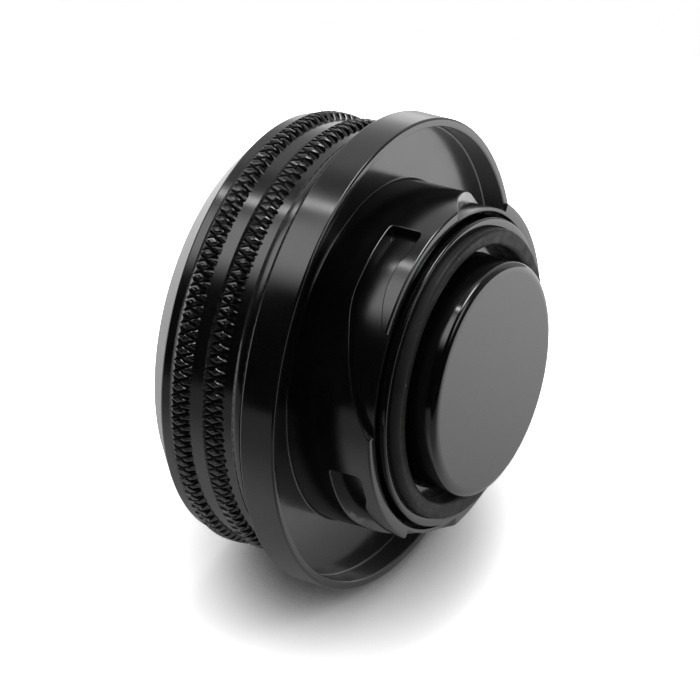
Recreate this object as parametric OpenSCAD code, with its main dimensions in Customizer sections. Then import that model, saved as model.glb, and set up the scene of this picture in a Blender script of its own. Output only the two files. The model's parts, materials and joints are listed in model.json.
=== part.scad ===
// Twist-on oil filler cap, machined from solid and anodised black.
// It stands on the flat face of its crown at z = 0, with the sealing plug on top.
// All lengths are in millimetres, all angles in degrees round the z axis.

/* [Crown] */
// Diameter of the flat face on the outside of the cap
crown_face_d = 54; // [44:0.5:58]
// Height of the bevel between the flat face and the grip
crown_bevel_h = 3.9; // [2:0.1:6]

/* [Grip] */
// Diameter of the plain lands of the grip
grip_d = 62.8; // [60:0.1:65]
// Width of the land between the crown and the first knurled band
land_1_w = 2.2; // [1.5:0.1:4]
// Width of the land between the two knurled bands
land_2_w = 2.75; // [2:0.05:4]
// Width of the land between the second knurled band and the skirt
land_3_w = 4.35; // [3:0.05:6]
// Width of each knurled band
band_w = 2.65; // [2:0.05:3.5]
// Height of the knurled bands above the lands
band_rise = 0.85; // [0.6:0.05:1]
// Width of the slope that leads up to each band on its crown side
band_slope_w = 0.8; // [0.4:0.05:1.2]
// Width of the low collar at the foot of the skirt's shoulder
collar_w = 2.9; // [2:0.1:2.9]
// Height of that collar above the land
collar_rise = 0.3; // [0.1:0.05:0.4]
// Width of the slope that leads up to the collar
collar_slope_w = 1; // [0.5:0.1:1.5]

/* [Knurl] */
// Diamonds round each band
knurl_n = 112; // [80:4:120]
// Depth of the knurled grooves
knurl_depth = 0.4; // [0.3:0.05:0.55]

/* [Skirt] */
// Outer diameter of the skirt
skirt_d = 70; // [69:0.5:74]
// Height of the skirt from its shoulder to its rim
skirt_h = 5.95; // [5:0.05:8]
// Thickness of the skirt's wall at the rim
skirt_wall = 1.3; // [1:0.1:2]
// Depth of the ring-shaped recess inside the skirt
recess_depth = 3.5; // [2:0.1:4.5]
// Chamfer on the edge of the skirt's shoulder
shoulder_chamfer = 0.7; // [0.3:0.05:1]
// Chamfers on the two edges of the rim
rim_chamfer = 0.3; // [0.1:0.05:0.4]

/* [Neck] */
// Outer diameter of the slotted neck
neck_d = 50.6; // [48:0.1:54]
// Height of the neck above the floor of the recess
neck_h = 13.5; // [11:0.1:16]
// Chamfer on the neck's front edge
neck_chamfer = 0.3; // [0.1:0.05:0.5]
// Thickness of the neck's wall round the counterbore that takes the plug's flange
neck_wall = 1.85; // [1.6:0.05:2.4]
// Depth of that counterbore
mouth_depth = 4.6; // [3:0.1:6]

/* [Bayonet slots] */
// Number of slots round the neck
slot_n = 4; // [3:1:4]
// Depth of the slots in the neck's wall
slot_depth = 1.3; // [0.8:0.1:1.4]
// Height of the slots' rear flank above the floor of the recess
slot_rear_h = 6.5; // [5:0.1:7]
// Width of the pocket at the closed end of a slot
pocket_w = 5; // [4.5:0.1:5.2]
// Radius of the pocket's corners
pocket_r = 0.9; // [0.4:0.1:1.2]
// Angle of the first slot's closed end
slot_start_a = 46; // [0:1:89]
// Angle that the pocket takes
pocket_a = 10; // [8:0.5:12]
// Height of the bump on the lip that holds the cap locked
detent_rise = 0.7; // [0.3:0.05:1]
// Angle that the slope of the bump takes
detent_slope_a = 5; // [4:0.5:6]
// Angle that the top of the bump takes
detent_top_a = 9; // [6:0.5:11]
// Angle from the closed end to the end of the lip
lip_a = 38.5; // [34:0.5:42]
// Rise of the lip's flank from the bump to the end of the lip
lip_rise = 1.8; // [1:0.05:1.9]
// Radius of the corner at the end of the lip
lip_nose_r = 0.7; // [0.3:0.1:0.9]
// Angle from the closed end to the foot of the ramp
ramp_start_a = 31; // [26:0.5:34]
// Angle that the ramp takes
ramp_a = 32; // [26:0.5:34]
// Rise of the ramp
ramp_rise = 4.2; // [3:0.1:5]
// Angle that the steeper lead-in beyond the ramp takes
lead_a = 10; // [6:0.5:12]

/* [Plug] */
// Width of the flange's lip outside the gasket
flange_lip = 1.3; // [1:0.05:1.6]
// Height of the flange's face above the neck's face
flange_proud = 1.2; // [0.6:0.1:2]
// Width of the open ring between the nose and the gasket
nose_gap = 1.6; // [1:0.1:2.2]
// Height of the nose above the flange's face
nose_h = 4.9; // [4:0.1:7]
// Radial size of the nose's rounded edge
nose_round = 1; // [0.4:0.1:1.4]
// Diameter of the plug's stem
stem_d = 18; // [14:0.5:22]
// Length of the stem below the flange
stem_l = 14; // [11:0.5:16]
// Chamfer on the end of the stem
stem_chamfer = 0.8; // [0.4:0.1:1]

/* [Gasket] */
// Width of the gasket's face
gasket_w = 2.55; // [2:0.05:2.8]
// Depth of the groove that the gasket sits in
groove_depth = 1.8; // [1:0.1:2.2]
// Height of the gasket above the flange's face
gasket_proud = 1.45; // [0.8:0.05:2]
// Radius of the gasket's corners
gasket_r = 0.45; // [0.2:0.05:0.6]

/* [Washer and snap ring] */
// Thickness of the thrust washer
washer_t = 0.8; // [0.5:0.1:1.5]
// Thickness of the snap ring
ring_t = 1.2; // [0.8:0.1:1.5]
// Radial width of the snap ring
ring_w = 1.7; // [1.4:0.1:2.2]
// Width of the gap where the snap ring is split
ring_gap = 5; // [2:0.5:8]
// Distance from the plug's flange to the snap ring
ring_drop = 9; // [6:0.5:9.5]

/* [Clearances] */
// Radial gap between the plug's flange and the neck's wall
flange_gap = 0.65; // [0.4:0.05:0.9]
// Radial gap between the thrust washer and the neck's wall
washer_gap = 1.45; // [0.5:0.05:6]
// Radial clearance between the stem and its bore
stem_clear = 0.05; // [0.02:0.01:0.1]
// Radial clearance between the gasket and the wall of its groove
gasket_clear = 0.05; // [0.02:0.01:0.1]
// Clearance between the plug's flange and the thrust washer
washer_clear = 0.05; // [0.02:0.01:0.1]
// Clearance round the snap ring in its two grooves
ring_clear = 0.1; // [0.05:0.01:0.15]
// Room below the end of the stem
bore_room = 1.5; // [0.5:0.1:2]

/* [Hidden] */
$fn = 180;
eps = 0.5;
band_root = 1;
slope_root = 0.1;
lip_curve = 1.25;
station_a = 1.3;
arc_steps = 5;
anodised = [0.06, 0.06, 0.065];
rubber = [0.09, 0.09, 0.09];
spring_steel = [0.45, 0.46, 0.48];
white_plastic = [0.85, 0.85, 0.82];

grip_r = grip_d / 2;
band_r = grip_r + band_rise;
collar_r = grip_r + collar_rise;
skirt_r = skirt_d / 2;
neck_r = neck_d / 2;
stem_r = stem_d / 2;

// What sits in the neck, from its wall inwards
mouth_r = neck_r - neck_wall;
washer_r = mouth_r - washer_gap;
flange_r = mouth_r - flange_gap;
groove_r = flange_r - flange_lip;
gasket_ro = groove_r - gasket_clear;
gasket_ri = gasket_ro - gasket_w;
nose_r = gasket_ri - nose_gap;

// Heights above the crown's face
z_band_1 = crown_bevel_h + land_1_w;
z_land_2 = z_band_1 + band_w;
z_band_2 = z_land_2 + land_2_w;
z_land_3 = z_band_2 + band_w;
z_shoulder = z_land_3 + land_3_w;
z_collar = z_shoulder - collar_w;
z_rim = z_shoulder + skirt_h;
z_recess = z_rim - recess_depth;
z_neck = z_recess + neck_h;
z_mouth = z_neck - mouth_depth;
z_flange_back = z_mouth + washer_t + washer_clear;
z_flange = z_neck + flange_proud;
z_groove = z_flange - groove_depth;
z_gasket = z_flange + gasket_proud;
z_nose = z_flange + nose_h;
z_stem = z_flange_back - stem_l;
z_ring = z_flange_back - ring_drop;
z_bore = z_stem - bore_room;
z_slot = z_recess + slot_rear_h;

// Small edges that follow their neighbours
root_r = 0.4;
nose_round_h = 0.6 * nose_round;
bore_r = stem_r + stem_clear;
bore_chamfer = 0.6;
ring_ro = bore_r + ring_w / 2;
ring_ri = ring_ro - ring_w;
ring_seat_r = ring_ro + ring_clear;
stem_neck_r = ring_ri - ring_clear;

// Outline of a ring's square section, with its corners rounded
module rounded_section(r_in, r_out, z_low, z_high, corner) {
    for (x = [r_in + corner, r_out - corner], z = [z_low + corner, z_high - corner])
        translate([x, z]) circle(r = corner, $fn = 32);
    translate([r_in + corner, z_low]) square([r_out - r_in - 2 * corner, z_high - z_low]);
    translate([r_in, z_low + corner]) square([r_out - r_in, z_high - z_low - 2 * corner]);
}

// Turned body without knurl and slots, drawn from the crown round to the bore
module turned_body() {
    rotate_extrude()
        polygon([
            [0, 0],
            [crown_face_d / 2, 0],
            [grip_r, crown_bevel_h],
            [grip_r, z_collar],
            [collar_r, z_collar + collar_slope_w],
            [collar_r, z_shoulder],
            [skirt_r - shoulder_chamfer, z_shoulder],
            [skirt_r, z_shoulder + shoulder_chamfer],
            [skirt_r, z_rim - rim_chamfer],
            [skirt_r - rim_chamfer, z_rim],
            [skirt_r - skirt_wall + rim_chamfer / 2, z_rim],
            [skirt_r - skirt_wall, z_rim - rim_chamfer / 2],
            [skirt_r - skirt_wall, z_recess + root_r],
            [skirt_r - skirt_wall - root_r, z_recess],
            [neck_r + root_r, z_recess],
            [neck_r, z_recess + root_r],
            [neck_r, z_neck - neck_chamfer],
            [neck_r - neck_chamfer, z_neck],
            [mouth_r, z_neck],
            [mouth_r, z_mouth],
            [bore_r + bore_chamfer, z_mouth],
            [bore_r, z_mouth - bore_chamfer],
            [bore_r, z_ring + ring_t + ring_clear],
            [ring_seat_r, z_ring + ring_t + ring_clear],
            [ring_seat_r, z_ring - ring_clear],
            [bore_r, z_ring - ring_clear],
            [bore_r, z_bore],
            [0, z_bore]
        ]);
}

// One knurled band: a slope on its crown side, then a ring of crossed grooves that leave
// a row of full diamonds between two rows of half diamonds
module knurled_band(z_low) {
    count = 2 * knurl_n;
    z_rows = [z_low - band_slope_w, z_low, z_low + band_w / 2, z_low + band_w];
    // The slope starts just under the land. Above it, a point is low where grooves cross
    // and high on the tip of a diamond.
    outer = [
        for (row = [0:3], i = [0:count - 1])
            let (r = row == 0 ? grip_r - slope_root : (i + row) % 2 == 0 ? band_r : band_r - knurl_depth)
            [r * cos(i * 360 / count), r * sin(i * 360 / count), z_rows[row]]
    ];
    core_r = grip_r - band_root;
    inner = [
        for (row = [0, 3], i = [0:count - 1])
            [core_r * cos(i * 360 / count), core_r * sin(i * 360 / count), z_rows[row]]
    ];
    top = 3 * count;
    in_low = 4 * count;
    in_high = 5 * count;
    sides = [
        for (row = [0:2], i = [0:count - 1])
            let (
                j = (i + 1) % count,
                a = row * count + i,
                b = row * count + j,
                c = a + count,
                d = b + count
            )
            each (i + row) % 2 == 1 ? [[a, d, b], [a, c, d]] : [[a, c, b], [c, d, b]]
    ];
    ends = [
        for (i = [0:count - 1])
            let (j = (i + 1) % count)
            each [
                [in_low + i, i, j], [in_low + i, j, in_low + j],
                [in_high + i, top + j, top + i], [in_high + i, in_high + j, top + j],
                [in_low + i, in_low + j, in_high + j], [in_low + i, in_high + j, in_high + i]
            ]
    ];
    polyhedron(points = concat(outer, inner), faces = concat(sides, ends), convexity = 10);
}

// Height of a slot's rear flank above its level part, at angle a from the closed end
function rear_flank(a) =
    a < ramp_start_a ? 0
    : a < ramp_start_a + ramp_a ? ramp_rise * (a - ramp_start_a) / ramp_a
    : ramp_rise + (z_neck - z_slot - ramp_rise) * (a - ramp_start_a - ramp_a) / lead_a;

// Height of the lip's flank above the level part of the rear flank
function lip_flank(a) =
    let (
        top = pocket_a + detent_slope_a,
        foot = top + detent_top_a,
        low = pocket_w - detent_rise
    )
    a < pocket_a ? pocket_w
    : a < top ? pocket_w - detent_rise * (a - pocket_a) / detent_slope_a
    : a < foot ? low
    : low + lip_rise * pow((a - foot) / (lip_a - foot), lip_curve);

// How far the pocket's rounded corner cuts in, at arc length s from the closed end
function corner_cut(s) = s >= pocket_r ? 0 : pocket_r - sqrt(pocket_r * pocket_r - pow(pocket_r - s, 2));

// Angles from one place to another, the first left out
function spread(from, to) =
    let (n = ceil((to - from) / station_a))
    [for (i = [1:n]) from + (to - from) * i / n];

// A bayonet slot: a pocket with rounded corners, a bump, a widening lip and the open entry
module slot_cutter() {
    floor_r = neck_r - slot_depth;
    cut_r = neck_r + eps;
    deg_mm = 180 / (PI * neck_r);
    // The lead-in runs on above the neck's front face
    front_h = z_neck - z_slot;
    over_a = lead_a * eps / 2 / (front_h - ramp_rise);
    end_a = ramp_start_a + ramp_a + lead_a + over_a;
    open_h = front_h + eps;
    quarter = 90 / arc_steps;
    closed = [
        for (i = [0:arc_steps])
            let (s = pocket_r * (1 - cos(i * quarter)))
            [s * deg_mm, corner_cut(s), lip_flank(0) - corner_cut(s)]
    ];
    nose_a = lip_a - lip_nose_r * deg_mm;
    lip = [
        for (a = spread(pocket_r * deg_mm, nose_a))
            [a, rear_flank(a), lip_flank(a)]
    ];
    // The lip ends in a rounded corner
    nose = [
        for (i = [1:arc_steps - 1])
            let (a = lip_a - lip_nose_r * (1 - sin(i * quarter)) * deg_mm)
            [a, rear_flank(a), lip_flank(nose_a) + lip_nose_r * (1 - cos(i * quarter))]
    ];
    entry = [
        for (a = concat([lip_a], spread(lip_a, end_a)))
            [a, rear_flank(a), open_h]
    ];
    stations = concat(closed, lip, nose, entry);
    last = len(stations) - 1;
    points = [
        for (s = stations)
            each [
                [floor_r * cos(s[0]), floor_r * sin(s[0]), z_slot + s[1]],
                [cut_r * cos(s[0]), cut_r * sin(s[0]), z_slot + s[1]],
                [cut_r * cos(s[0]), cut_r * sin(s[0]), z_slot + s[2]],
                [floor_r * cos(s[0]), floor_r * sin(s[0]), z_slot + s[2]]
            ]
    ];
    walls = [
        for (k = [0:last - 1], e = [0:3])
            let (a = 4 * k + e, b = 4 * k + (e + 1) % 4)
            each [[a, b, b + 4], [a, b + 4, a + 4]]
    ];
    caps = [[0, 3, 2], [0, 2, 1], [4 * last, 4 * last + 1, 4 * last + 2], [4 * last, 4 * last + 2, 4 * last + 3]];
    polyhedron(points = points, faces = concat(walls, caps), convexity = 6);
}

module cap_body() {
    color(anodised)
        difference() {
            union() {
                turned_body();
                knurled_band(z_band_1);
                knurled_band(z_band_2);
            }
            for (k = [0:slot_n - 1])
                rotate(slot_start_a + k * 360 / slot_n) slot_cutter();
        }
}

module seal_plug() {
    color(anodised)
        rotate_extrude()
            polygon(concat([
                [0, z_stem],
                [stem_r - stem_chamfer, z_stem],
                [stem_r, z_stem + stem_chamfer],
                [stem_r, z_ring - ring_clear],
                [stem_neck_r, z_ring - ring_clear],
                [stem_neck_r, z_ring + ring_t + ring_clear],
                [stem_r, z_ring + ring_t + ring_clear],
                [stem_r, z_flange_back],
                [flange_r, z_flange_back],
                [flange_r, z_flange],
                [groove_r, z_flange],
                [groove_r, z_groove],
                [nose_r, z_groove]
            ], [
                for (b = [0:90 / arc_steps:90])
                    [nose_r - nose_round * (1 - cos(b)), z_nose - nose_round_h * (1 - sin(b))]
            ], [
                [0, z_nose]
            ]));
}

module gasket() {
    color(rubber)
        rotate_extrude() rounded_section(gasket_ri, gasket_ro, z_groove, z_gasket, gasket_r);
}

module thrust_washer() {
    color(white_plastic)
        translate([0, 0, z_mouth])
            difference() {
                cylinder(r = washer_r, h = washer_t);
                translate([0, 0, -eps]) cylinder(r = bore_r + bore_chamfer, h = washer_t + 2 * eps);
            }
}

module snap_ring() {
    color(spring_steel)
        translate([0, 0, z_ring])
            difference() {
                cylinder(r = ring_ro, h = ring_t);
                translate([0, 0, -eps]) cylinder(r = ring_ri, h = ring_t + 2 * eps);
                translate([0, -ring_gap / 2, -eps]) cube([ring_ro + eps, ring_gap, ring_t + 2 * eps]);
            }
}

cap_body();
seal_plug();
gasket();
thrust_washer();
snap_ring();
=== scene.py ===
# %% [markdown]
# # A twist-on oil filler cap, turned, milled and anodised black
# The cap lies on its side on white paper with its working end towards the camera.
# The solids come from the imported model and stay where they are. This file builds finer
# skins over them: edges that catch light, the crossed knurl, the bayonet slots, the rubber.
# Lengths are in millimetres while a piece is made, and in metres once it is finished.

# %% Load the solids and keep their box
import bpy, bmesh, json, math
from mathutils import Matrix, Vector

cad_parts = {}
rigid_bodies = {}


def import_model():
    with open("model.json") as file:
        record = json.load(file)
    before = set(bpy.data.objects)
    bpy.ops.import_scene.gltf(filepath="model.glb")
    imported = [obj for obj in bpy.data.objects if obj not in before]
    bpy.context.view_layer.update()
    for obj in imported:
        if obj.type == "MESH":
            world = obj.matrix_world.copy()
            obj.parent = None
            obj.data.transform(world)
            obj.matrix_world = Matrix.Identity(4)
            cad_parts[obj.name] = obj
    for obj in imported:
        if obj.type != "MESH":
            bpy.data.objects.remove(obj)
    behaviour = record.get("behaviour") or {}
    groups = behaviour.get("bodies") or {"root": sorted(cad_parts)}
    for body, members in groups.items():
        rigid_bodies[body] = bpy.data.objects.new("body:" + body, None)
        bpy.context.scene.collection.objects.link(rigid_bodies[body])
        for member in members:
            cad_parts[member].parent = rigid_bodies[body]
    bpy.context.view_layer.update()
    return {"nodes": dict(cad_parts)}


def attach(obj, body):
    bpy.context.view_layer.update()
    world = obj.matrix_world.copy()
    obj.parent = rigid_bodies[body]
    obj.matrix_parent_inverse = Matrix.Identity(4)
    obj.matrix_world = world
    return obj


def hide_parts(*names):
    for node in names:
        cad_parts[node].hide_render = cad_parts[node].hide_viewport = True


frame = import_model()
print("solids:", sorted(frame["nodes"]))

# %% [markdown]
# ## The photograph's camera
# A long lens looks at the cap from its working end. The directions below say how the cap's
# own axes lie in the picture, and their three numbers go across, down and away from the
# camera. They come from the round edges, because a circle seen at an angle shows its tilt.

# %% Place the camera
MM = 0.001
AXIS = Vector((0.86457, 0.22691, -0.44829))
ACROSS = Vector((0.25384, -0.96725, 0.0))
TOWARDS = AXIS.cross(ACROSS)
RIM_CENTRE = Vector((6.743, 0.712, 861.31))
RIM_Z = 24.45
LENS_PX = 5963.25
PICTURE_PX, SENSOR = 700, 36


def from_picture(direction):
    """A direction given as across, down and away in the picture, in the cap's own axes."""
    d = Vector(direction)
    return Vector((-ACROSS.dot(d), -TOWARDS.dot(d), AXIS.dot(d)))


camera = bpy.data.objects.new("camera", bpy.data.cameras.new("camera"))
bpy.context.scene.collection.objects.link(camera)
bpy.context.scene.camera = camera
camera.data.sensor_width = SENSOR
camera.data.lens = LENS_PX * SENSOR / PICTURE_PX
camera.data.clip_start = 0.05
camera.data.clip_end = 20
right, up, back = from_picture((1, 0, 0)), from_picture((0, -1, 0)), from_picture((0, 0, -1))
eye = (Vector((0, 0, RIM_Z)) - from_picture(RIM_CENTRE)) * MM
turn = Matrix((right, up, back)).transposed().to_4x4()
camera.matrix_world = Matrix.Translation(eye) @ turn
print("camera at", [round(c, 4) for c in eye], "with a lens of", round(camera.data.lens, 1), "mm")

# %% [markdown]
# ## Helpers for turned pieces
# A lathe cuts one outline all the way round, so the outline is drawn once as a chain of
# edges, its corners are rounded, and it is spun about the axis. Each corner carries its own
# rounding, because a sharp corner looks like paper and a rounded one catches the light.


# %% Turn an outline, and finish a mesh as a piece
def turned(outline, steps, ring=False):
    """Spins a chain of (radius, height, rounding) corners round the axis. A ring's chain is closed."""
    bm = bmesh.new()
    points = [bm.verts.new((r, 0, z)) for r, z, _ in outline]
    for a, b in zip(points, points[1:] + points[:1] if ring else points[1:]):
        bm.edges.new((a, b))
    for point, (_, _, rounding) in zip(points, outline):
        if rounding:
            bmesh.ops.bevel(bm, geom=[point], offset=rounding, offset_type="OFFSET",
                            segments=4, profile=0.5, affect="VERTICES", material=-1)
    chain = bm.verts[:] + bm.edges[:]
    bmesh.ops.spin(bm, geom=chain, cent=(0, 0, 0), axis=(0, 0, 1), angle=math.tau,
                   steps=steps, use_merge=True, use_duplicate=False)
    bmesh.ops.remove_doubles(bm, verts=bm.verts[:], dist=0.0005)
    bmesh.ops.recalc_face_normals(bm, faces=bm.faces[:])
    return bm


def even_shading(made):
    """Lets the large faces decide the shading, so that a flat stays flat beside a rounded edge."""
    weigh = made.modifiers.new("shading", "WEIGHTED_NORMAL")
    weigh.mode, weigh.keep_sharp = "FACE_AREA", True
    bpy.context.view_layer.update()
    mesh = bpy.data.meshes.new_from_object(made.evaluated_get(bpy.context.evaluated_depsgraph_get()))
    made.modifiers.clear()
    made.data = mesh


def piece(name, bm, material, crease=35):
    """Turns a bmesh in millimetres into a smooth-shaded object in metres."""
    bmesh.ops.scale(bm, vec=(MM, MM, MM), verts=bm.verts[:])
    mesh = bpy.data.meshes.new(name)
    bm.to_mesh(mesh)
    bm.free()
    mesh.shade_smooth()
    mesh.set_sharp_from_angle(angle=math.radians(crease))
    mesh.materials.append(material)
    made = bpy.data.objects.new(name, mesh)
    bpy.context.scene.collection.objects.link(made)
    print(name, "has", len(mesh.polygons), "faces")
    return made


# %% [markdown]
# ## Materials
# Black anodising is a hard clear layer over dyed metal: almost no colour of its own, and a
# strong clean mirror. So the base is near black and the index of refraction is high, which
# gives back about a seventh of the light head-on. What makes it real is small: the lathe's
# rings in the bump, patches a little duller than others, and edges rubbed a little paler.


# %% Anodised aluminium
def new_material(name):
    material = bpy.data.materials.new(name)
    material.use_nodes = True
    nodes = material.node_tree.nodes
    return material, nodes, material.node_tree.links, nodes["Principled BSDF"]


def ring_coordinates(nodes, links):
    """Radius and height of a point on a turned piece, as the lathe sees it."""
    place = nodes.new("ShaderNodeTexCoord")
    parts = nodes.new("ShaderNodeSeparateXYZ")
    links.new(place.outputs["Object"], parts.inputs[0])
    flat = nodes.new("ShaderNodeCombineXYZ")
    links.new(parts.outputs["X"], flat.inputs["X"])
    links.new(parts.outputs["Y"], flat.inputs["Y"])
    radius = nodes.new("ShaderNodeVectorMath")
    radius.operation = "LENGTH"
    links.new(flat.outputs[0], radius.inputs[0])
    ring = nodes.new("ShaderNodeCombineXYZ")
    links.new(radius.outputs["Value"], ring.inputs["X"])
    links.new(parts.outputs["Z"], ring.inputs["Z"])
    return place.outputs["Object"], ring.outputs[0]


def noise(nodes, links, vector, scale, detail=2):
    texture = nodes.new("ShaderNodeTexNoise")
    texture.inputs["Scale"].default_value = scale
    texture.inputs["Detail"].default_value = detail
    links.new(vector, texture.inputs["Vector"])
    return texture.outputs["Fac"]


def spread(nodes, links, value, low, high, from_low=0.3, from_high=0.7):
    """Maps a texture's value onto a range."""
    mapped = nodes.new("ShaderNodeMapRange")
    mapped.inputs["From Min"].default_value = from_low
    mapped.inputs["From Max"].default_value = from_high
    mapped.inputs["To Min"].default_value = low
    mapped.inputs["To Max"].default_value = high
    links.new(value, mapped.inputs["Value"])
    return mapped.outputs["Result"]


def rubbed_edges(nodes, links):
    """1 on worn outer edges and 0 elsewhere: there the normal turns quickly and the shape stands out."""
    shape = nodes.new("ShaderNodeNewGeometry")
    around = nodes.new("ShaderNodeBevel")
    around.samples = 4
    around.inputs["Radius"].default_value = 0.0002
    turn = nodes.new("ShaderNodeVectorMath")
    turn.operation = "DOT_PRODUCT"
    links.new(around.outputs["Normal"], turn.inputs[0])
    links.new(shape.outputs["Normal"], turn.inputs[1])
    both = nodes.new("ShaderNodeMath")
    both.operation = "MULTIPLY"
    links.new(spread(nodes, links, turn.outputs["Value"], 1, 0, 0.8, 0.97), both.inputs[0])
    links.new(spread(nodes, links, shape.outputs["Pointiness"], 0, 1, 0.5, 0.54), both.inputs[1])
    return both.outputs[0]


def blend_colours(nodes, links, factor, first, second):
    mix = nodes.new("ShaderNodeMix")
    mix.data_type = "RGBA"
    mix.inputs["A"].default_value = (*first, 1)
    mix.inputs["B"].default_value = (*second, 1)
    links.new(factor, mix.inputs["Factor"])
    return mix.outputs["Result"]


def anodised(name, dull=0.21, shine=0.13, ring_bump=0.015):
    material, nodes, links, shader = new_material(name)
    place, ring = ring_coordinates(nodes, links)
    shader.inputs["IOR"].default_value = 2.26
    patches = noise(nodes, links, place, 120, 4)
    links.new(spread(nodes, links, patches, shine, dull), shader.inputs["Roughness"])
    worn = rubbed_edges(nodes, links)
    tint = blend_colours(nodes, links, worn, (0.002, 0.002, 0.0022), (0.03, 0.03, 0.031))
    links.new(tint, shader.inputs["Base Color"])
    lathe = noise(nodes, links, ring, 9000, 2)
    bump = nodes.new("ShaderNodeBump")
    bump.inputs["Strength"].default_value = ring_bump
    bump.inputs["Distance"].default_value = 0.00002
    links.new(lathe, bump.inputs["Height"])
    links.new(bump.outputs["Normal"], shader.inputs["Normal"])
    return material


body_black = anodised("black_body")
plug_black = anodised("black_plug", dull=0.16, shine=0.09)
knurl_black = anodised("black_knurl", dull=0.22, shine=0.14, ring_bump=0.0)
print("anodised:", [m.name for m in (body_black, plug_black, knurl_black)])

# %% [markdown]
# ## The cap's body
# The body is one piece of aluminium: a bevelled crown, three plain lands with two raised
# bands between them, a skirt with a ring-shaped recess, and a neck. The outline runs from
# the crown's centre round the outside, through the recess, over the neck and down the bore.

# %% Turn the body
CROWN_R, BEVEL_H, GRIP_R, SKIRT_R = 27.0, 3.9, 31.4, 35.0
BAND_R, BAND_W, KNURLS = 32.25, 2.65, 112
BAND_1, BAND_2, SHOULDER, RECESS, NECK = 6.1, 11.5, 18.5, 20.95, 34.45
COLLAR_R, COLLAR = 31.7, 15.6
NECK_R, MOUTH_R, MOUTH, SLOT_FLOOR_R = 25.3, 23.45, 29.85, 24.0
BORE_R, BORE, SEAT_R, SEAT, SEAT_END = 9.05, 15.2, 10.0, 21.6, 23.0

outline = [
    (0, 0, 0), (CROWN_R, 0, 0.25), (GRIP_R, BEVEL_H, 0.2),
    (GRIP_R, COLLAR, 0.1), (COLLAR_R - 0.1, COLLAR + 0.45, 0.2), (COLLAR_R, COLLAR + 1.1, 0.3),
    (COLLAR_R, SHOULDER, 0.25), (SKIRT_R - 0.7, SHOULDER, 0.12), (SKIRT_R, SHOULDER + 0.7, 0.12),
    (SKIRT_R, RIM_Z - 0.22, 0.1), (SKIRT_R - 0.22, RIM_Z, 0.1), (33.85, RIM_Z, 0.06),
    (33.7, RIM_Z - 0.15, 0.06), (33.7, RECESS, 0.3), (NECK_R, RECESS, 0.3),
    (NECK_R, NECK, 0.3), (MOUTH_R, NECK, 0.15),
    (MOUTH_R, MOUTH, 0.2), (BORE_R + 0.6, MOUTH, 0.1), (BORE_R, MOUTH - 0.6, 0.1), (BORE_R, SEAT_END, 0),
    (SEAT_R, SEAT_END, 0), (SEAT_R, SEAT, 0), (BORE_R, SEAT, 0), (BORE_R, BORE, 0), (0, BORE, 0),
]
body = turned(outline, 480)
print("body skin:", len(body.faces), "faces")

# %% [markdown]
# ## The bayonet slots
# Four slots are milled into the neck's wall. Each has a closed pocket, a bump that holds the
# cap locked, a lip that widens, and an open entry with a ramp that lifts the engine's lug.
# The slot's outline is drawn flat, as angle and height, with its corners rounded. It is
# raised into a block whose sides flare at the top, then wrapped round the neck. Cutting with
# a flared block rounds the slot's edges too, as a brush or a file does on the real part.

# %% Draw one slot and wrap it round the neck
SLOTS, FIRST_SLOT, SLOT_Z = 4, 46.0, 27.45
EDGE = 0.16
ARC = math.radians(1) * NECK_R
ramp = [(31, 0, 2.2), (38, 0.95, 0.8), (52, 2.62, 0.8), (63, 4.25, 0.8), (70, 5.75, 0.8), (76.5, 7.55, 0)]
lip = [(38.5, 7.55, 0), (38.5, 6.15, 0.7), (34.5, 5.5, 0.5), (29, 4.78, 0.6), (24, 4.35, 0.6),
       (14.8, 4.3, 0.6), (10.2, 5.0, 0.5), (0, 5.0, 0.9), (0, 0, 0.6)]


def close_up(bm):
    """Fills the open outline that raising a face leaves behind."""
    bmesh.ops.holes_fill(bm, edges=[e for e in bm.edges if e.is_boundary], sides=0)
    bmesh.ops.recalc_face_normals(bm, faces=bm.faces[:])


def wrap(bm, ring_r, low, first_angle=0.0):
    """Bends a flat piece round the axis: x is arc length, y is height and z is the radius."""
    for v in bm.verts:
        angle = v.co.x / ring_r + math.radians(first_angle)
        v.co = (v.co.z * math.cos(angle), v.co.z * math.sin(angle), v.co.y + low)


def repeat_round(bm, times):
    """Copies what is in the mesh round the axis, until it is there so many times."""
    bmesh.ops.spin(bm, geom=bm.verts[:] + bm.edges[:] + bm.faces[:], cent=(0, 0, 0), axis=(0, 0, 1),
                   angle=math.tau * (times - 1) / times, steps=times - 1, use_duplicate=True)


def slot_block():
    """One slot as a solid: its outline raised to past the neck's skin, flaring at the top."""
    bm = bmesh.new()
    corners = [(a * ARC, h, rounding) for a, h, rounding in ramp + lip]
    points = [bm.verts.new((x, h, SLOT_FLOOR_R)) for x, h, _ in corners]
    face = bm.faces.new(points)
    for point, (_, _, rounding) in zip(points, corners):
        if rounding:
            bmesh.ops.bevel(bm, geom=[point], offset=rounding, offset_type="OFFSET",
                            segments=5, profile=0.5, affect="VERTICES", material=-1)
    stages = [(NECK_R - EDGE - SLOT_FLOOR_R, 0), (EDGE * 0.5, EDGE * 0.134),
              (EDGE * 0.366, EDGE * 0.366), (EDGE * 0.934, EDGE * 3.5)]
    for rise, flare in stages:
        face = max(bm.faces, key=lambda f: f.calc_center_median().z)
        bmesh.ops.inset_individual(bm, faces=[face], thickness=-flare, depth=rise, use_even_offset=True)
    close_up(bm)
    for cut in range(-2, 78):
        bmesh.ops.bisect_plane(bm, geom=bm.verts[:] + bm.edges[:] + bm.faces[:], dist=0.0005,
                               plane_co=(cut * ARC, 0, 0), plane_no=(1, 0, 0))
    wrap(bm, NECK_R, SLOT_Z, FIRST_SLOT)
    return bm


cutter = slot_block()
repeat_round(cutter, SLOTS)
bmesh.ops.recalc_face_normals(cutter, faces=cutter.faces[:])
print("corners of a slot's outline:", len(ramp + lip))

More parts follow.
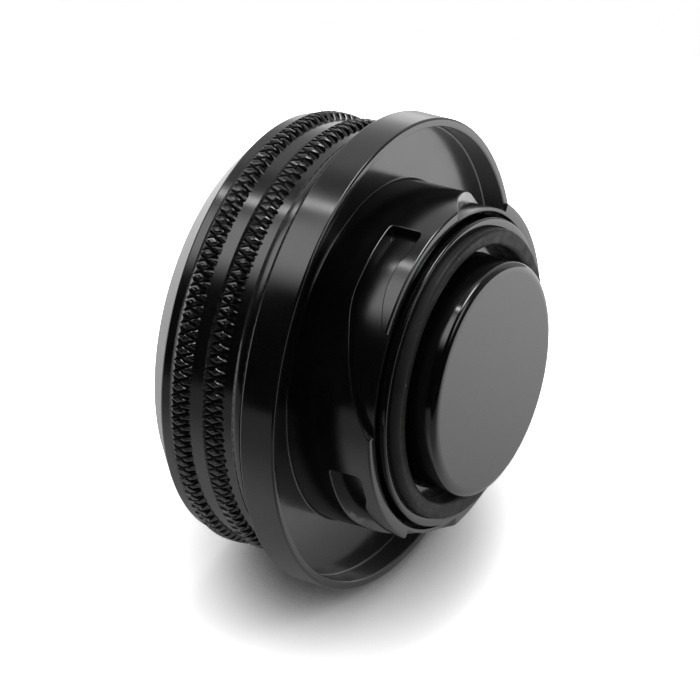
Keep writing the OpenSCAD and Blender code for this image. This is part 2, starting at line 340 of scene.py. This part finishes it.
# %% [markdown]
# ## Cutting the slots
# All four blocks are taken out of the body in one cut. Where the cut crosses the lathe's
# own strips it leaves some points almost on top of each other, and these would show as dark
# ticks in the polish. So they are welded, and the shading stops at the slot's edge.

# %% Cut the slots out of the body
turned_body = piece("cap_body_turned", body, body_black)
slot_tool = piece("slot_tool", cutter, body_black)
cut = turned_body.modifiers.new("slots", "BOOLEAN")
cut.operation, cut.solver, cut.object = "DIFFERENCE", "EXACT", slot_tool
bpy.context.view_layer.update()
carved = bpy.data.meshes.new_from_object(turned_body.evaluated_get(bpy.context.evaluated_depsgraph_get()))
turned_body.modifiers.clear()
turned_body.data = carved
bpy.data.objects.remove(slot_tool)
carved.shade_smooth()
carved.set_sharp_from_angle(angle=math.radians(35))
WELD, TOO_SHORT = 0.012, 0.004
welded = bmesh.new()
welded.from_mesh(carved)
bmesh.ops.remove_doubles(welded, verts=welded.verts[:], dist=WELD * MM)
bmesh.ops.dissolve_degenerate(welded, edges=welded.edges[:], dist=TOO_SHORT * MM)
for edge in welded.edges:
    on_neck = all(abs(v.co.xy.length - NECK_R * MM) < 0.02 * MM for v in edge.verts)
    if on_neck and edge.calc_face_angle(0) > math.radians(6):
        edge.smooth = False
welded.to_mesh(carved)
welded.free()
even_shading(turned_body)
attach(turned_body, "cap")
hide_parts("cap_body")
print("carved body:", len(carved.polygons), "faces")

# %% [markdown]
# ## The knurled bands
# A knurling wheel presses two families of crossed grooves into a turned band and leaves
# diamonds with blunt tops. One diamond and its neighbours are laid flat and inset four
# times: up the groove's steep foot and side, over the gentle top, and down into the small
# pit that the wheel leaves. The grooves are widest where they cross, because the wheel rolls
# into the metal there, so each top is stretched along the axis. On the skirt's side the
# band falls away, and its last diamonds sink into the land as a row of points. On the
# crown's side it ends in a plain slope. Then the strip is wrapped and repeated round.
# The first band is cut a little lower through the pattern than the second.

# %% Make the two bands
DIAMOND_W = math.tau * BAND_R / KNURLS
DIAMOND_H = DIAMOND_W / math.tan(math.radians(30))
UNDER_R = GRIP_R - 0.7
INSETS = [(0.06, 0.15), (0.27, 0.32), (0.22, 0.06), (0.06, -0.05)]
GROOVE_R = BAND_R - 0.53
STRETCH = (0.92, 1.32, 1)
FALL_FROM, FALL, TOP_FALL = 0.5, 1.05, 0.4
WITHIN = 0.97


def stretch_tops(bm, tops):
    """Draws each top out along the axis, so that its sides are wide at the crossings."""
    for top in tops:
        centre = top.calc_center_median()
        bmesh.ops.scale(bm, vec=STRETCH, space=Matrix.Translation(-centre), verts=top.verts[:])


def fall_away(bm, shift):
    """Lets the band fall towards the skirt's side, until it lies under the land.

    The middle diamond falls less, so that its tip stands up between its neighbours.
    """
    bmesh.ops.bisect_plane(bm, geom=bm.verts[:] + bm.edges[:] + bm.faces[:], dist=0.0005,
                           plane_co=(0, FALL_FROM, 0), plane_no=(0, 1, 0))
    for v in bm.verts:
        within = abs(v.co.x) * 2 / DIAMOND_W + abs(v.co.y - shift) * 2 / DIAMOND_H < WITHIN
        v.co.z -= max(0, v.co.y - FALL_FROM) * (TOP_FALL if within else FALL)


def trim(bm, side, edge, lean):
    """Cuts the strip off along a slope and draws its cut rim down below the land."""
    cut = bmesh.ops.bisect_plane(bm, geom=bm.verts[:] + bm.edges[:] + bm.faces[:], dist=0.0005,
                                 plane_co=(0, side * edge, BAND_R), plane_no=(0, side, lean),
                                 clear_outer=True)
    rims = [e for e in cut["geom_cut"] if isinstance(e, bmesh.types.BMEdge)]
    walls = bmesh.ops.extrude_edge_only(bm, edges=rims)
    for v in (v for v in walls["geom"] if isinstance(v, bmesh.types.BMVert)):
        v.co.y += side * lean * (v.co.z - UNDER_R)
        v.co.z = UNDER_R


def knurl_tile(shift):
    """One repeat of the knurl, with the middle diamond moved by shift along the axis."""
    bm = bmesh.new()
    shape = Matrix.Diagonal((DIAMOND_W / 2, DIAMOND_H / 2, 1, 1))
    for across, along in [(0, 0), (0.5, 0.5), (0.5, -0.5), (0, 1), (0, -1)]:
        place = Matrix.Translation((across * DIAMOND_W, along * DIAMOND_H + shift, GROOVE_R))
        bmesh.ops.create_circle(bm, cap_ends=True, segments=4, radius=1, matrix=place @ shape)
    bmesh.ops.remove_doubles(bm, verts=bm.verts[:], dist=0.001)
    bmesh.ops.reverse_faces(bm, faces=[f for f in bm.faces if f.normal.z < 0])
    tops = bm.faces[:]
    for width, rise in INSETS[:2]:
        bmesh.ops.inset_individual(bm, faces=tops, thickness=width, depth=rise, use_even_offset=True)
    stretch_tops(bm, tops)
    for width, rise in INSETS[2:]:
        bmesh.ops.inset_individual(bm, faces=tops, thickness=width, depth=rise, use_even_offset=True)
    fall_away(bm, shift)
    trim(bm, 1, BAND_W / 2 + 0.05, 0)
    trim(bm, -1, BAND_W / 2 - 0.25, 1.29)
    return bm


def knurled_band(name, low, shift):
    """Wraps the strip round the grip from the height low upwards, and closes it underneath."""
    bm = knurl_tile(shift)
    tile_faces = len(bm.faces)
    wrap(bm, BAND_R, low + BAND_W / 2)
    repeat_round(bm, KNURLS)
    bmesh.ops.remove_doubles(bm, verts=bm.verts[:], dist=0.002)
    bmesh.ops.bridge_loops(bm, edges=[e for e in bm.edges if e.is_boundary])
    bmesh.ops.recalc_face_normals(bm, faces=bm.faces[:])
    made = piece(name, bm, knurl_black, crease=25)
    print("  one repeat has", tile_faces, "faces")
    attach(made, "cap")
    return made


band_1 = knurled_band("knurled_band_crown_side", BAND_1, -0.4)
band_2 = knurled_band("knurled_band_skirt_side", BAND_2, 0.0)

# %% [markdown]
# ## The sealing plug and its gasket
# The plug turns freely in the neck's mouth, so that the gasket doesn't scrub on its seat
# while the cap is twisted home. Its nose has a flat polished face with a soft edge. The
# gasket is a square rubber ring, a little crowned, and it stands proud of the flange.

# %% Turn the plug and mould the gasket
plug_outline = [
    (0, 16.7, 0), (8.2, 16.7, 0.1), (9.0, 17.5, 0.1), (9.0, 21.6, 0), (8.1, 21.6, 0),
    (8.1, 23.0, 0), (9.0, 23.0, 0), (9.0, 30.7, 0.2), (22.8, 30.7, 0.3),
    (22.8, 35.65, 0.28), (21.5, 35.65, 0.12), (21.5, 33.85, 0.1),
    (17.3, 33.85, 0.15), (17.3, 39.95, 0.25), (16.85, 40.36, 0.3), (16.2, 40.55, 0.3), (0, 40.55, 0),
]
plug = piece("seal_plug_turned", turned(plug_outline, 360), plug_black)
even_shading(plug)
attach(plug, "plug")
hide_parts("seal_plug")


def moulded_rubber():
    """Matt black rubber, a little streaky, with a few pale specks of dust."""
    material, nodes, links, shader = new_material("moulded_rubber")
    place, ring = ring_coordinates(nodes, links)
    skin = noise(nodes, links, place, 700, 4)
    links.new(spread(nodes, links, skin, 0.42, 0.6), shader.inputs["Roughness"])
    streaks = noise(nodes, links, place, 160, 3)
    streaky = spread(nodes, links, streaks, 0, 1)
    tint = blend_colours(nodes, links, streaky, (0.012, 0.012, 0.012), (0.022, 0.022, 0.021))
    dust = nodes.new("ShaderNodeTexVoronoi")
    dust.inputs["Scale"].default_value = 420
    links.new(place, dust.inputs["Vector"])
    speck = spread(nodes, links, dust.outputs["Distance"], 1, 0, 0.03, 0.1)
    pale = nodes.new("ShaderNodeMix")
    pale.data_type = "RGBA"
    links.new(speck, pale.inputs["Factor"])
    links.new(tint, pale.inputs["A"])
    pale.inputs["B"].default_value = (0.16, 0.16, 0.155, 1)
    links.new(pale.outputs["Result"], shader.inputs["Base Color"])
    bump = nodes.new("ShaderNodeBump")
    bump.inputs["Strength"].default_value = 0.35
    bump.inputs["Distance"].default_value = 0.00003
    links.new(noise(nodes, links, place, 2600, 3), bump.inputs["Height"])
    links.new(bump.outputs["Normal"], shader.inputs["Normal"])
    return material


gasket_outline = [(18.9, 33.86, 0.1), (21.45, 33.86, 0.1), (21.45, 37.1, 0.6), (18.9, 36.95, 0.85)]
rubber = moulded_rubber()
gasket = piece("gasket_moulded", turned(gasket_outline, 300, ring=True), rubber)
even_shading(gasket)
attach(gasket, "plug")
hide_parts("gasket")

# %% [markdown]
# ## What is hidden inside
# A white plastic washer takes the clamping force and a split steel ring keeps the plug in.
# Both come straight from the solids, and only their finish is made here.


# %% Finish the washer and the snap ring
def plain_finish(name, pale, dark, roughness, metallic, grain):
    material, nodes, links, shader = new_material(name)
    place, ring = ring_coordinates(nodes, links)
    shader.inputs["Metallic"].default_value = metallic
    mottled = noise(nodes, links, place, grain, 3)
    tint = blend_colours(nodes, links, spread(nodes, links, mottled, 0, 1), pale, dark)
    links.new(tint, shader.inputs["Base Color"])
    links.new(spread(nodes, links, mottled, roughness - 0.05, roughness + 0.05), shader.inputs["Roughness"])
    bump = nodes.new("ShaderNodeBump")
    bump.inputs["Strength"].default_value = 0.1
    bump.inputs["Distance"].default_value = 0.00002
    links.new(noise(nodes, links, ring, 4000, 2), bump.inputs["Height"])
    links.new(bump.outputs["Normal"], shader.inputs["Normal"])
    return material


washer_white = plain_finish("white_plastic", (0.82, 0.81, 0.77), (0.76, 0.75, 0.7), 0.45, 0.0, 300)
ring_steel = plain_finish("spring_steel", (0.45, 0.45, 0.46), (0.36, 0.36, 0.37), 0.3, 1.0, 500)
for node, finish in (("thrust_washer", washer_white), ("snap_ring", ring_steel)):
    mesh = frame["nodes"][node].data
    mesh.materials.clear()
    mesh.materials.append(finish)
    print(node, "finished as", finish.name)

# %% [markdown]
# ## The paper
# The cap rests on its skirt and on one knurled band, so the paper is the plane that touches
# both. The paper is white to the eye and keeps the lamps' soft shadow, with painted shade
# added close under the cap. Polished black metal tells more about the room than about
# itself: its tones are mirror images of the paper and of what stands round it. The
# photographer lit from behind, so the paper that the mirror sees carries painted light:
# bright at the back, and fading to painted shade towards the camera.

# %% Find the plane of the paper
world_up = from_picture((0.0616, -0.7110, -0.7005)).normalized()
world_away = (from_picture((0, 0, 1)) - world_up * from_picture((0, 0, 1)).dot(world_up)).normalized()
world_right = world_away.cross(world_up)
touching = [(SKIRT_R, SHOULDER + 0.7), (SKIRT_R, RIM_Z), (BAND_R, BAND_1), (GRIP_R, BEVEL_H)]
level = min(z * world_up.z - r * math.sqrt(1 - world_up.z ** 2) for r, z in touching)
print("the axis rises", round(math.degrees(math.asin(world_up.z)), 1), "degrees from the paper")


# %% Lay the paper under the cap
def switch(nodes, links, factor, first, second):
    """The first colour where the factor is 0 and the second where it is 1."""
    mix = nodes.new("ShaderNodeMix")
    mix.data_type = "RGBA"
    for value, name in ((factor, "Factor"), (first, "A"), (second, "B")):
        links.new(value, mix.inputs[name])
    return mix.outputs["Result"]


def grey(nodes, links, value):
    """A colour whose three channels are one value, which may be more than 1."""
    colour = nodes.new("ShaderNodeCombineColor")
    for channel in ("Red", "Green", "Blue"):
        links.new(value, colour.inputs[channel])
    return colour.outputs["Color"]


def along(nodes, links, place, direction):
    """How far a place lies along a direction."""
    dot = nodes.new("ShaderNodeVectorMath")
    dot.operation = "DOT_PRODUCT"
    links.new(place, dot.inputs[0])
    dot.inputs[1].default_value = direction
    return dot.outputs["Value"]


def white_paper_with_painted_light():
    """White paper: plain to lamps, brighter to the eye with painted shade near the cap, painted light in the
    mirror.
    """
    material, nodes, links, shader = new_material("white_paper_with_painted_light")
    matte = nodes.new("ShaderNodeBsdfDiffuse")
    nodes.remove(shader)
    place = nodes.new("ShaderNodeTexCoord")
    fibres = spread(nodes, links, noise(nodes, links, place.outputs["Object"], 60, 3), 0, 1)
    plain = blend_colours(nodes, links, fibres, (0.9, 0.9, 0.9), (0.92, 0.92, 0.92))
    # To the eye its colour is raised above white, and a painted shade darkens it close under the cap
    near = nodes.new("ShaderNodeAmbientOcclusion")
    near.inputs["Distance"].default_value = 0.03
    eye_colour_with_painted_shade = grey(nodes, links, spread(nodes, links, near.outputs["AO"], 0.25, 3.0, 0.25, 0.85))
    # In the mirror the paper carries painted light: bright at the back, as if lit from behind, and fading to
    # painted shade at the front
    depth = along(nodes, links, place.outputs["Object"], world_away)
    fade = spread(nodes, links, depth, 0.15, 1.48, -0.12, 0.11)
    fade.node.interpolation_type = "SMOOTHSTEP"
    ray = nodes.new("ShaderNodeLightPath")
    # The camera sees the paper's colour with the painted shade near the cap
    tint = switch(nodes, links, ray.outputs["Is Camera Ray"], plain, eye_colour_with_painted_shade)
    # The metal's mirror sees the paper with this painted light and shade
    tint = switch(nodes, links, ray.outputs["Is Glossy Ray"], tint, grey(nodes, links, fade))
    links.new(tint, matte.inputs["Color"])
    # From below, the paper lets the eye through
    shape = nodes.new("ShaderNodeNewGeometry")
    clear = nodes.new("ShaderNodeBsdfTransparent")
    both = nodes.new("ShaderNodeMixShader")
    links.new(shape.outputs["Backfacing"], both.inputs["Fac"])
    links.new(matte.outputs[0], both.inputs[1])
    links.new(clear.outputs[0], both.inputs[2])
    links.new(both.outputs[0], nodes["Material Output"].inputs["Surface"])
    return material


PAPER_HALF, PAPER_BEHIND = 0.5, 0.1
sheet = bmesh.new()
bmesh.ops.create_grid(sheet, x_segments=1, y_segments=1, size=PAPER_HALF)
bmesh.ops.rotate(sheet, verts=sheet.verts[:], matrix=Matrix((world_right, world_away, world_up)).transposed())
middle = world_up * level * MM + world_away * (PAPER_BEHIND - PAPER_HALF)
bmesh.ops.translate(sheet, vec=middle, verts=sheet.verts[:])
paper_mesh = bpy.data.meshes.new("paper")
sheet.to_mesh(paper_mesh)
sheet.free()
paper_mesh.materials.append(white_paper_with_painted_light())
paper = bpy.data.objects.new("paper", paper_mesh)
bpy.context.scene.collection.objects.link(paper)
print("the paper lies", round(-level, 2), "mm under the middle of the crown")

# %% [markdown]
# ## The lamps
# A lamp is placed by two angles, as one would point at it from the cap. Each fades towards
# its edges, because the black metal mirrors it and a hard edge would show. The tall strip
# draws the bright lines down the grip, and the softbox lights the top of the skirt.


# %% Hang the lamps
def towards_sky(degrees_right, degrees_up):
    """A direction from the cap, with 0 degrees right straight behind it."""
    swing, rise = math.radians(degrees_right), math.radians(degrees_up)
    level_way = world_away * math.cos(swing) + world_right * math.sin(swing)
    return level_way * math.cos(rise) + world_up * math.sin(rise)


def soften(light, edge):
    """Lets a lamp fade towards its edges, as cloth stretched over a frame does."""
    light.use_nodes = True
    nodes, links = light.node_tree.nodes, light.node_tree.links
    place = nodes.new("ShaderNodeNewGeometry")
    parts = nodes.new("ShaderNodeSeparateXYZ")
    links.new(place.outputs["Parametric"], parts.inputs[0])
    both = nodes.new("ShaderNodeMath")
    both.operation = "MULTIPLY"
    for side, socket in ((parts.outputs["X"], both.inputs[0]), (parts.outputs["Y"], both.inputs[1])):
        from_edge = nodes.new("ShaderNodeMath")
        from_edge.operation = "PINGPONG"
        from_edge.inputs[1].default_value = 0.5
        links.new(side, from_edge.inputs[0])
        fade = spread(nodes, links, from_edge.outputs[0], 0, 1, 0, edge)
        fade.node.interpolation_type = "SMOOTHSTEP"
        links.new(fade, socket)
    links.new(both.outputs[0], nodes["Emission"].inputs["Strength"])


def lamp(name, direction, distance, wide, tall, brightness):
    """A flat lamp that looks at the cap. Brightness 1 is a white card in full light."""
    light = bpy.data.lights.new(name, "AREA")
    light.shape, light.size, light.size_y = "RECTANGLE", wide, tall
    light.energy = brightness * math.pi * wide * tall
    soften(light, 0.35)
    made = bpy.data.objects.new(name, light)
    bpy.context.scene.collection.objects.link(made)
    across = direction.cross(world_up).normalized()
    made.matrix_world = Matrix.Translation(direction * distance) @ Matrix(
        (across, direction.cross(across), direction)).transposed().to_4x4()
    return made


lamp("softbox_above", towards_sky(20, 64), 0.55, 0.36, 0.4, 4.0)
lamp("edge_card", towards_sky(100, 42), 0.5, 0.3, 0.3, 1.0)
lamp("strip", towards_sky(-44, 48), 0.6, 0.05, 0.44, 4.0)
lamp("panel", towards_sky(-78, 49), 0.62, 0.46, 0.46, 1.0)

# %% [markdown]
# ## The room
# The room is plain white to the eye and a plain fill to matt surfaces. Only the metal's
# mirror sees more: a pale backdrop that is brightest at its foot, behind the cap, and fades
# all round it.

# %% Build the room
FILL = 0.6
# Brightness by the angle, in degrees, from the foot of the backdrop
FADING = [(0, 1.5), (6, 1.45), (11, 0.95), (18, 0.68), (25, 0.5), (33, 0.42), (52, 0.37),
          (58, 0.18), (70, 0.1), (95, 0.02), (180, 0.02)]
BRIGHTEST = 2


def studio_room():
    """The world's light: white to the eye, fading in the mirror, and a plain fill for the rest."""
    world = bpy.data.worlds.new("studio")
    world.use_nodes = True
    nodes, links = world.node_tree.nodes, world.node_tree.links
    place = nodes.new("ShaderNodeTexCoord")
    angle = nodes.new("ShaderNodeMath")
    angle.operation = "ARCCOSINE"
    links.new(along(nodes, links, place.outputs["Generated"], towards_sky(0, -15)), angle.inputs[0])
    backdrop = nodes.new("ShaderNodeFloatCurve")
    curve = backdrop.mapping.curves[0]
    for degrees, brightness in FADING[1:-1]:
        curve.points.new(degrees / 180, brightness / BRIGHTEST)
    curve.points[0].location = (0, FADING[0][1] / BRIGHTEST)
    curve.points[-1].location = (1, FADING[-1][1] / BRIGHTEST)
    backdrop.mapping.update()
    links.new(spread(nodes, links, angle.outputs[0], 0, 1, 0, math.pi), backdrop.inputs["Value"])
    mirrored = spread(nodes, links, backdrop.outputs[0], 0, BRIGHTEST, 0, 1)
    ray = nodes.new("ShaderNodeLightPath")
    plain = spread(nodes, links, ray.outputs["Is Camera Ray"], FILL, 1, 0, 1)
    seen = nodes.new("ShaderNodeMix")
    links.new(ray.outputs["Is Glossy Ray"], seen.inputs["Factor"])
    links.new(plain, seen.inputs["A"])
    links.new(mirrored, seen.inputs["B"])
    nodes["Background"].inputs["Color"].default_value = (1, 1, 1, 1)
    links.new(seen.outputs["Result"], nodes["Background"].inputs["Strength"])
    return world


bpy.context.scene.world = studio_room()
bpy.context.scene.view_settings.view_transform = "Standard"
print("the backdrop's steps:", len(FADING))
